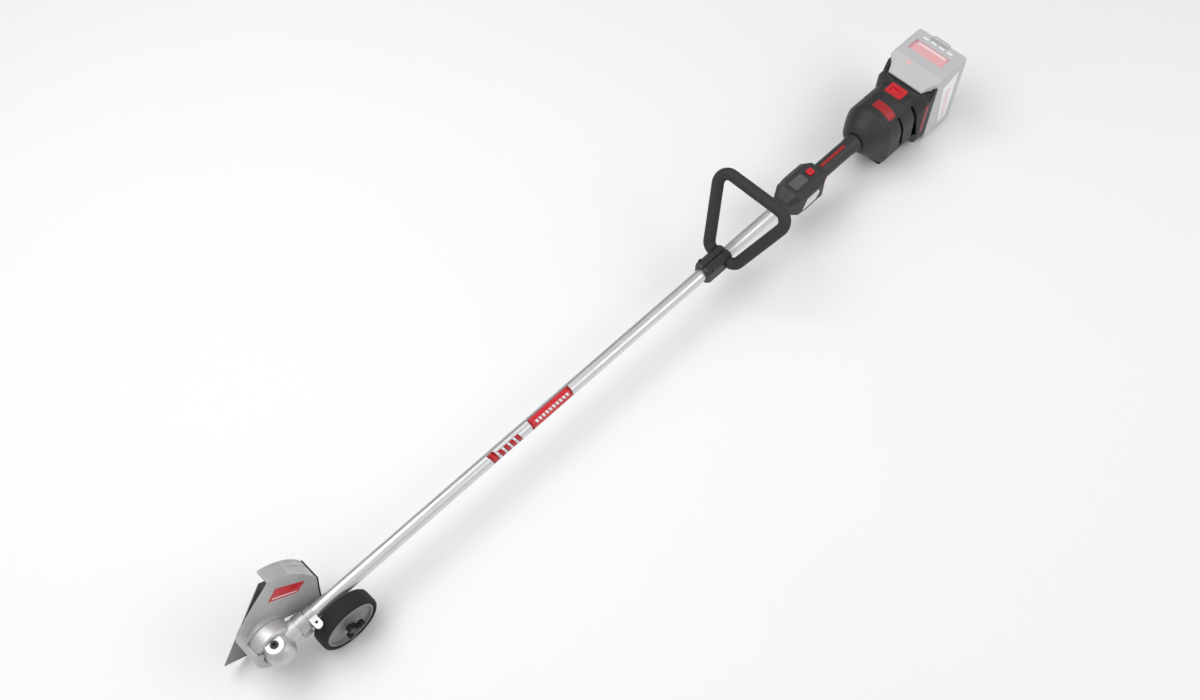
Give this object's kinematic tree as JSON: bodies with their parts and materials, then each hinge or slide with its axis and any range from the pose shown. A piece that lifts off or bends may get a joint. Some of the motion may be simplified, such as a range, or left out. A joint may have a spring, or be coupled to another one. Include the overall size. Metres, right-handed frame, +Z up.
{
  "type": "lawn edger",
  "caption": "Battery lawn edger: motor head and grip on a straight tube with a loop handle, and at its foot a bevel gear case with a guarded edging blade and a height-adjustable wheel.",
  "frame": {"origin": "on the floor under the middle of the tool's bounding box", "axes": "+X along the shaft tube from the blade to the battery, +Y to the blade side, +Z up"},
  "size_m": [1.8406, 0.1848, 0.2337],
  "materials": {
    "tube_aluminium": "bright anodised",
    "case_aluminium": "die cast, blasted",
    "guard_paint": "silver-grey powder coat",
    "bracket_steel": "zinc plated",
    "fastener_steel": "zinc plated",
    "blade_steel": "ground steel",
    "holder_steel": "machined",
    "gear_steel": "hardened, oiled",
    "plug_black": "blackened",
    "liner_nylon": "moulded nylon",
    "flap_rubber": "matte",
    "tyre_rubber": "matte, grooved",
    "rim_plastic": "moulded",
    "bushing_bronze": "sintered",
    "knob_plastic": "moulded",
    "clamp_plastic": "moulded, grained",
    "loop_steel": "bent tube",
    "loop_foam": "soft sleeve",
    "control_plastic": "moulded, grained",
    "head_plastic": "moulded, grained",
    "button_red": "moulded",
    "inlay_red": "moulded",
    "badge_print": "printed plate",
    "badge_pale": "printed plate",
    "panel_grey": "printed keypad",
    "switch_black": "moulded",
    "spring_steel": "drawn wire",
    "motor_iron": "laminated",
    "fan_plastic": "moulded",
    "battery_plastic": "moulded, grained",
    "cell_wrap": "shrink wrap"
  },
  "bodies": {
    "frame": {"shaft_tube": "tube_aluminium", "gear_case": "case_aluminium", "spindle_housing": "case_aluminium", "blade_guard": "guard_paint", "wheel_bracket": "bracket_steel", "socket_clamp": "bracket_steel", "case_bolts": "fastener_steel", "guard_screws": "fastener_steel", "flap_rivets": "fastener_steel", "clamp_bolts": "fastener_steel", "housing_screws": "fastener_steel", "trigger_pin": "fastener_steel", "shaft_bearings": "gear_steel", "spindle_bearings": "gear_steel", "grease_plug": "plug_black", "shaft_liners": "liner_nylon", "debris_flap": "flap_rubber", "control_housing_left": "control_plastic", "control_housing_right": "control_plastic", "motor_housing_left": "head_plastic", "motor_housing_right": "head_plastic", "motor_bell": "head_plastic", "battery_dock": "head_plastic", "rest_foot": "head_plastic", "grip_stripe": "inlay_red", "top_insert": "inlay_red", "guard_badge": "badge_print", "control_badge": "badge_pale", "mode_panel": "panel_grey", "power_switch": "switch_black", "terminal_block": "switch_black", "lock_spring": "spring_steel", "motor_stator": "motor_iron"},
    "drive_line": {"drive_shaft": "gear_steel", "drive_pinion": "gear_steel", "motor_rotor": "motor_iron", "cooling_fan": "fan_plastic", "shaft_coupler": "gear_steel"},
    "blade_drive": {"bevel_wheel": "gear_steel", "blade_spindle": "holder_steel", "blade_holder": "holder_steel", "edger_blade": "blade_steel", "blade_washer": "holder_steel", "blade_nut": "holder_steel"},
    "wheel_carriage": {"wheel_axle": "fastener_steel"},
    "wheel": {"wheel_rim": "rim_plastic", "wheel_tyre": "tyre_rubber", "wheel_bushings": "bushing_bronze"},
    "knob": {"wheel_knob": "knob_plastic"},
    "handle": {"handle_clamp_left": "clamp_plastic", "handle_clamp_right": "clamp_plastic", "handle_clamp_screws": "fastener_steel"},
    "loop": {"loop_tube": "loop_steel", "loop_grip": "loop_foam"},
    "trigger": {"throttle_trigger": "button_red"},
    "lock": {"lock_button": "button_red"},
    "release": {"release_button": "button_red"},
    "battery": {"battery_case": "battery_plastic", "battery_cover": "battery_plastic", "battery_cells": "cell_wrap"}
  },
  "joints": [
    {"name": "drive_spin", "type": "hinge", "parent": "frame", "child": "drive_line", "pos_m": [-0.8267, 0, 0.0965], "axis": [1, 0, 0], "continuous": true},
    {"name": "blade_spin", "type": "hinge", "parent": "frame", "child": "blade_drive", "pos_m": [-0.8417, 0.06, 0.0965], "axis": [0, 1, 0], "continuous": true},
    {"name": "wheel_height", "type": "slide", "parent": "frame", "child": "wheel_carriage", "axis": [0, 0, -1], "range_m": [0, 0.025]},
    {"name": "wheel_roll", "type": "hinge", "parent": "wheel_carriage", "child": "wheel", "pos_m": [-0.7289, -0.03, 0.0565], "axis": [0, 1, 0], "continuous": true},
    {"name": "knob_turn", "type": "hinge", "parent": "wheel_carriage", "child": "knob", "pos_m": [-0.7289, -0.06, 0.0565], "axis": [0, 1, 0], "range_deg": [-180, 180]},
    {"name": "handle_slide", "type": "slide", "parent": "frame", "child": "handle", "axis": [1, 0, 0], "range_m": [-0.08, 0.06]},
    {"name": "loop_tilt", "type": "hinge", "parent": "handle", "child": "loop", "pos_m": [0.2433, 0, 0.1015], "axis": [0, 1, 0], "range_deg": [-15, 20]},
    {"name": "trigger_pull", "type": "hinge", "parent": "frame", "child": "trigger", "pos_m": [0.5083, 0, 0.0745], "axis": [0, -1, 0], "range_deg": [0, 7], "stiffness_Nm_per_rad": 0.25, "springref_deg": -6.88},
    {"name": "lock_press", "type": "slide", "parent": "frame", "child": "lock", "axis": [0, 0, -1], "range_m": [0, 0.003], "stiffness_N_per_m": 400, "springref_m": -0.002, "deforming": ["lock_spring"]},
    {"name": "release_press", "type": "slide", "parent": "frame", "child": "release", "axis": [0, 0, -1], "range_m": [0, 0.004], "stiffness_N_per_m": 800, "springref_m": -0.002},
    {"name": "battery_lift", "type": "slide", "parent": "frame", "child": "battery", "axis": [0, 0, 1], "range_m": [0, 0.13]}
  ],
  "couplings": [
    {"joint": "blade_spin", "follows": "drive_spin", "ratio": -0.6}
  ]
}
